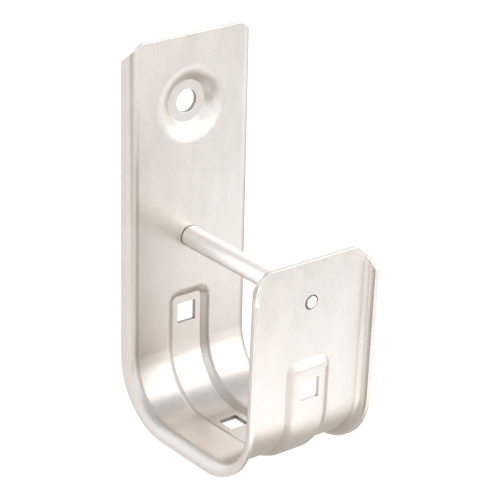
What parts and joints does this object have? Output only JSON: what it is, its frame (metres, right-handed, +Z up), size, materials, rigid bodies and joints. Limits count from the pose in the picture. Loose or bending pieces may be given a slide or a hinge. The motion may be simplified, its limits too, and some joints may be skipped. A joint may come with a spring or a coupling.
{
  "type": "cable j-hook",
  "caption": "Galvanised sheet-steel cable hook: a tall dimpled back plate, a U-shaped trough with rolled edges, a front lip, and a round pin across the mouth that keeps the cables in.",
  "frame": {"origin": "centre of the mounting hole on the wall plane, where the flange edges and the back of the dimple lie", "axes": "+Z up along the back plate, +Y into the wall, -Y towards the lip, X across the hook"},
  "size_m": [0.0408, 0.0584, 0.1083],
  "materials": {
    "galvanised_sheet": "satin galvanised sheet",
    "bright_pin": "turned bright steel"
  },
  "bodies": {
    "root": {"hook_body": "galvanised_sheet", "retaining_pin": "bright_pin"}
  },
  "joints": []
}
